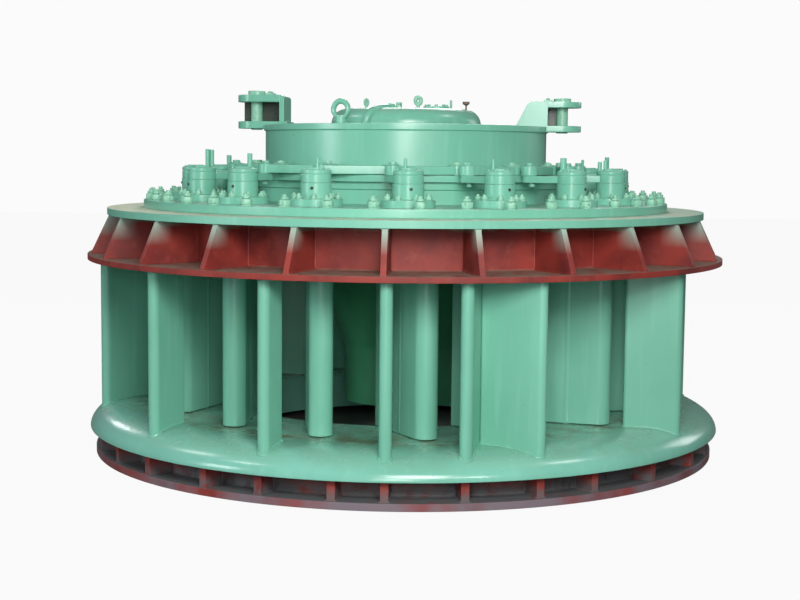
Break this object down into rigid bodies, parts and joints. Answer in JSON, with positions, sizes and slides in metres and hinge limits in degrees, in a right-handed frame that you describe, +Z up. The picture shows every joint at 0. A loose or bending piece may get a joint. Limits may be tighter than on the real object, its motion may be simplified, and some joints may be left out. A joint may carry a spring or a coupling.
{
  "type": "axial flow turbine guide vane distributor",
  "caption": "Round distributor of a vertical axial flow turbine: fixed vanes between a rounded lip and a ribbed upper ring, turning guide vanes with levers and links, and a control ring on top.",
  "frame": {"origin": "centre of the underside of the foundation ring, on the floor and on the turbine's axis", "axes": "+Z up along the axis of the turbine; -Y towards the side that the picture shows"},
  "size_m": [4.366, 4.366, 2.462],
  "materials": {
    "green_paint": "glossy sea-green paint with some dust",
    "lip_green_paint": "sea-green paint, dusty, with brown dirt near the joints",
    "red_oxide_primer": "matt red-brown primer with green overspray and dust",
    "painted_steel_pin": "steel pin with pale green paint"
  },
  "bodies": {
    "housing": {"foundation_ring": "red_oxide_primer", "stay_ring": "lip_green_paint", "bottom_ring": "lip_green_paint", "throat_ring": "lip_green_paint", "upper_ring": "red_oxide_primer", "upper_flange": "green_paint", "head_cover": "green_paint", "inner_cone": "green_paint", "ring_guide": "green_paint", "dome_cover": "green_paint"},
    "control_ring": {"control_ring": "green_paint", "ring_top_flange": "green_paint", "left_lug": "green_paint", "right_lug": "green_paint", "left_lug_pin": "painted_steel_pin", "right_lug_pin": "painted_steel_pin"},
    "guide_vane_01": {"guide_vane_01": "green_paint"},
    "link_01": {"link_01": "green_paint"},
    "guide_vane_02": {"guide_vane_02": "green_paint"},
    "link_02": {"link_02": "green_paint"},
    "guide_vane_03": {"guide_vane_03": "green_paint"},
    "link_03": {"link_03": "green_paint"},
    "guide_vane_04": {"guide_vane_04": "green_paint"},
    "link_04": {"link_04": "green_paint"},
    "guide_vane_05": {"guide_vane_05": "green_paint"},
    "link_05": {"link_05": "green_paint"},
    "guide_vane_06": {"guide_vane_06": "green_paint"},
    "link_06": {"link_06": "green_paint"},
    "guide_vane_07": {"guide_vane_07": "green_paint"},
    "link_07": {"link_07": "green_paint"},
    "guide_vane_08": {"guide_vane_08": "green_paint"},
    "link_08": {"link_08": "green_paint"},
    "guide_vane_09": {"guide_vane_09": "green_paint"},
    "link_09": {"link_09": "green_paint"},
    "guide_vane_10": {"guide_vane_10": "green_paint"},
    "link_10": {"link_10": "green_paint"},
    "guide_vane_11": {"guide_vane_11": "green_paint"},
    "link_11": {"link_11": "green_paint"},
    "guide_vane_12": {"guide_vane_12": "green_paint"},
    "link_12": {"link_12": "green_paint"},
    "guide_vane_13": {"guide_vane_13": "green_paint"},
    "link_13": {"link_13": "green_paint"},
    "guide_vane_14": {"guide_vane_14": "green_paint"},
    "link_14": {"link_14": "green_paint"},
    "guide_vane_15": {"guide_vane_15": "green_paint"},
    "link_15": {"link_15": "green_paint"},
    "guide_vane_16": {"guide_vane_16": "green_paint"},
    "link_16": {"link_16": "green_paint"}
  },
  "joints": [
    {"name": "control_ring_turn", "type": "hinge", "parent": "housing", "child": "control_ring", "pos_m": [0, 0, 1.853], "axis": [0, 0, 1], "range_deg": [-12, 1.5]},
    {"name": "guide_vane_01_turn", "type": "hinge", "parent": "housing", "child": "guide_vane_01", "pos_m": [0.01278, -1.46494, 1.85], "axis": [0, 0, 1], "range_deg": [-6, 43.5]},
    {"name": "link_01_pivot", "type": "hinge", "parent": "guide_vane_01", "child": "link_01", "pos_m": [-0.08235, -1.19629, 1.927], "axis": [0, 0, 1], "range_deg": [-31, 4.5]},
    {"name": "guide_vane_02_turn", "type": "hinge", "parent": "housing", "child": "guide_vane_02", "pos_m": [0.57242, -1.34854, 1.85], "axis": [0, 0, 1], "range_deg": [-6, 43.5]},
    {"name": "link_02_pivot", "type": "hinge", "parent": "guide_vane_02", "child": "link_02", "pos_m": [0.38172, -1.13674, 1.927], "axis": [0, 0, 1], "range_deg": [-31, 4.5]},
    {"name": "guide_vane_03_turn", "type": "hinge", "parent": "housing", "child": "guide_vane_03", "pos_m": [1.04491, -1.02683, 1.85], "axis": [0, 0, 1], "range_deg": [-6, 43.5]},
    {"name": "link_03_pivot", "type": "hinge", "parent": "guide_vane_03", "child": "link_03", "pos_m": [0.78768, -0.90414, 1.927], "axis": [0, 0, 1], "range_deg": [-31, 4.5]},
    {"name": "guide_vane_04_turn", "type": "hinge", "parent": "housing", "child": "guide_vane_04", "pos_m": [1.35832, -0.5488, 1.85], "axis": [0, 0, 1], "range_deg": [-6, 43.5]},
    {"name": "link_04_pivot", "type": "hinge", "parent": "guide_vane_04", "child": "link_04", "pos_m": [1.07371, -0.53388, 1.927], "axis": [0, 0, 1], "range_deg": [-31, 4.5]},
    {"name": "guide_vane_05_turn", "type": "hinge", "parent": "housing", "child": "guide_vane_05", "pos_m": [1.46494, 0.01278, 1.85], "axis": [0, 0, 1], "range_deg": [-6, 43.5]},
    {"name": "link_05_pivot", "type": "hinge", "parent": "guide_vane_05", "child": "link_05", "pos_m": [1.19629, -0.08235, 1.927], "axis": [0, 0, 1], "range_deg": [-31, 4.5]},
    {"name": "guide_vane_06_turn", "type": "hinge", "parent": "housing", "child": "guide_vane_06", "pos_m": [1.34854, 0.57242, 1.85], "axis": [0, 0, 1], "range_deg": [-6, 43.5]},
    {"name": "link_06_pivot", "type": "hinge", "parent": "guide_vane_06", "child": "link_06", "pos_m": [1.13674, 0.38172, 1.927], "axis": [0, 0, 1], "range_deg": [-31, 4.5]},
    {"name": "guide_vane_07_turn", "type": "hinge", "parent": "housing", "child": "guide_vane_07", "pos_m": [1.02683, 1.04491, 1.85], "axis": [0, 0, 1], "range_deg": [-6, 43.5]},
    {"name": "link_07_pivot", "type": "hinge", "parent": "guide_vane_07", "child": "link_07", "pos_m": [0.90414, 0.78768, 1.927], "axis": [0, 0, 1], "range_deg": [-31, 4.5]},
    {"name": "guide_vane_08_turn", "type": "hinge", "parent": "housing", "child": "guide_vane_08", "pos_m": [0.5488, 1.35832, 1.85], "axis": [0, 0, 1], "range_deg": [-6, 43.5]},
    {"name": "link_08_pivot", "type": "hinge", "parent": "guide_vane_08", "child": "link_08", "pos_m": [0.53388, 1.07371, 1.927], "axis": [0, 0, 1], "range_deg": [-31, 4.5]},
    {"name": "guide_vane_09_turn", "type": "hinge", "parent": "housing", "child": "guide_vane_09", "pos_m": [-0.01278, 1.46494, 1.85], "axis": [0, 0, 1], "range_deg": [-6, 43.5]},
    {"name": "link_09_pivot", "type": "hinge", "parent": "guide_vane_09", "child": "link_09", "pos_m": [0.08235, 1.19629, 1.927], "axis": [0, 0, 1], "range_deg": [-31, 4.5]},
    {"name": "guide_vane_10_turn", "type": "hinge", "parent": "housing", "child": "guide_vane_10", "pos_m": [-0.57242, 1.34854, 1.85], "axis": [0, 0, 1], "range_deg": [-6, 43.5]},
    {"name": "link_10_pivot", "type": "hinge", "parent": "guide_vane_10", "child": "link_10", "pos_m": [-0.38172, 1.13674, 1.927], "axis": [0, 0, 1], "range_deg": [-31, 4.5]},
    {"name": "guide_vane_11_turn", "type": "hinge", "parent": "housing", "child": "guide_vane_11", "pos_m": [-1.04491, 1.02683, 1.85], "axis": [0, 0, 1], "range_deg": [-6, 43.5]},
    {"name": "link_11_pivot", "type": "hinge", "parent": "guide_vane_11", "child": "link_11", "pos_m": [-0.78768, 0.90414, 1.927], "axis": [0, 0, 1], "range_deg": [-31, 4.5]},
    {"name": "guide_vane_12_turn", "type": "hinge", "parent": "housing", "child": "guide_vane_12", "pos_m": [-1.35832, 0.5488, 1.85], "axis": [0, 0, 1], "range_deg": [-6, 43.5]},
    {"name": "link_12_pivot", "type": "hinge", "parent": "guide_vane_12", "child": "link_12", "pos_m": [-1.07371, 0.53388, 1.927], "axis": [0, 0, 1], "range_deg": [-31, 4.5]},
    {"name": "guide_vane_13_turn", "type": "hinge", "parent": "housing", "child": "guide_vane_13", "pos_m": [-1.46494, -0.01278, 1.85], "axis": [0, 0, 1], "range_deg": [-6, 43.5]},
    {"name": "link_13_pivot", "type": "hinge", "parent": "guide_vane_13", "child": "link_13", "pos_m": [-1.19629, 0.08235, 1.927], "axis": [0, 0, 1], "range_deg": [-31, 4.5]},
    {"name": "guide_vane_14_turn", "type": "hinge", "parent": "housing", "child": "guide_vane_14", "pos_m": [-1.34854, -0.57242, 1.85], "axis": [0, 0, 1], "range_deg": [-6, 43.5]},
    {"name": "link_14_pivot", "type": "hinge", "parent": "guide_vane_14", "child": "link_14", "pos_m": [-1.13674, -0.38172, 1.927], "axis": [0, 0, 1], "range_deg": [-31, 4.5]},
    {"name": "guide_vane_15_turn", "type": "hinge", "parent": "housing", "child": "guide_vane_15", "pos_m": [-1.02683, -1.04491, 1.85], "axis": [0, 0, 1], "range_deg": [-6, 43.5]},
    {"name": "link_15_pivot", "type": "hinge", "parent": "guide_vane_15", "child": "link_15", "pos_m": [-0.90414, -0.78768, 1.927], "axis": [0, 0, 1], "range_deg": [-31, 4.5]},
    {"name": "guide_vane_16_turn", "type": "hinge", "parent": "housing", "child": "guide_vane_16", "pos_m": [-0.5488, -1.35832, 1.85], "axis": [0, 0, 1], "range_deg": [-6, 43.5]},
    {"name": "link_16_pivot", "type": "hinge", "parent": "guide_vane_16", "child": "link_16", "pos_m": [-0.53388, -1.07371, 1.927], "axis": [0, 0, 1], "range_deg": [-31, 4.5]}
  ],
  "couplings": [
    {"joint": "guide_vane_01_turn", "follows": "control_ring_turn", "ratio": -3.58},
    {"joint": "link_01_pivot", "follows": "control_ring_turn", "ratio": 2.56},
    {"joint": "guide_vane_02_turn", "follows": "control_ring_turn", "ratio": -3.58},
    {"joint": "link_02_pivot", "follows": "control_ring_turn", "ratio": 2.56},
    {"joint": "guide_vane_03_turn", "follows": "control_ring_turn", "ratio": -3.58},
    {"joint": "link_03_pivot", "follows": "control_ring_turn", "ratio": 2.56},
    {"joint": "guide_vane_04_turn", "follows": "control_ring_turn", "ratio": -3.58},
    {"joint": "link_04_pivot", "follows": "control_ring_turn", "ratio": 2.56},
    {"joint": "guide_vane_05_turn", "follows": "control_ring_turn", "ratio": -3.58},
    {"joint": "link_05_pivot", "follows": "control_ring_turn", "ratio": 2.56},
    {"joint": "guide_vane_06_turn", "follows": "control_ring_turn", "ratio": -3.58},
    {"joint": "link_06_pivot", "follows": "control_ring_turn", "ratio": 2.56},
    {"joint": "guide_vane_07_turn", "follows": "control_ring_turn", "ratio": -3.58},
    {"joint": "link_07_pivot", "follows": "control_ring_turn", "ratio": 2.56},
    {"joint": "guide_vane_08_turn", "follows": "control_ring_turn", "ratio": -3.58},
    {"joint": "link_08_pivot", "follows": "control_ring_turn", "ratio": 2.56},
    {"joint": "guide_vane_09_turn", "follows": "control_ring_turn", "ratio": -3.58},
    {"joint": "link_09_pivot", "follows": "control_ring_turn", "ratio": 2.56},
    {"joint": "guide_vane_10_turn", "follows": "control_ring_turn", "ratio": -3.58},
    {"joint": "link_10_pivot", "follows": "control_ring_turn", "ratio": 2.56},
    {"joint": "guide_vane_11_turn", "follows": "control_ring_turn", "ratio": -3.58},
    {"joint": "link_11_pivot", "follows": "control_ring_turn", "ratio": 2.56},
    {"joint": "guide_vane_12_turn", "follows": "control_ring_turn", "ratio": -3.58},
    {"joint": "link_12_pivot", "follows": "control_ring_turn", "ratio": 2.56},
    {"joint": "guide_vane_13_turn", "follows": "control_ring_turn", "ratio": -3.58},
    {"joint": "link_13_pivot", "follows": "control_ring_turn", "ratio": 2.56},
    {"joint": "guide_vane_14_turn", "follows": "control_ring_turn", "ratio": -3.58},
    {"joint": "link_14_pivot", "follows": "control_ring_turn", "ratio": 2.56},
    {"joint": "guide_vane_15_turn", "follows": "control_ring_turn", "ratio": -3.58},
    {"joint": "link_15_pivot", "follows": "control_ring_turn", "ratio": 2.56},
    {"joint": "guide_vane_16_turn", "follows": "control_ring_turn", "ratio": -3.58},
    {"joint": "link_16_pivot", "follows": "control_ring_turn", "ratio": 2.56}
  ]
}
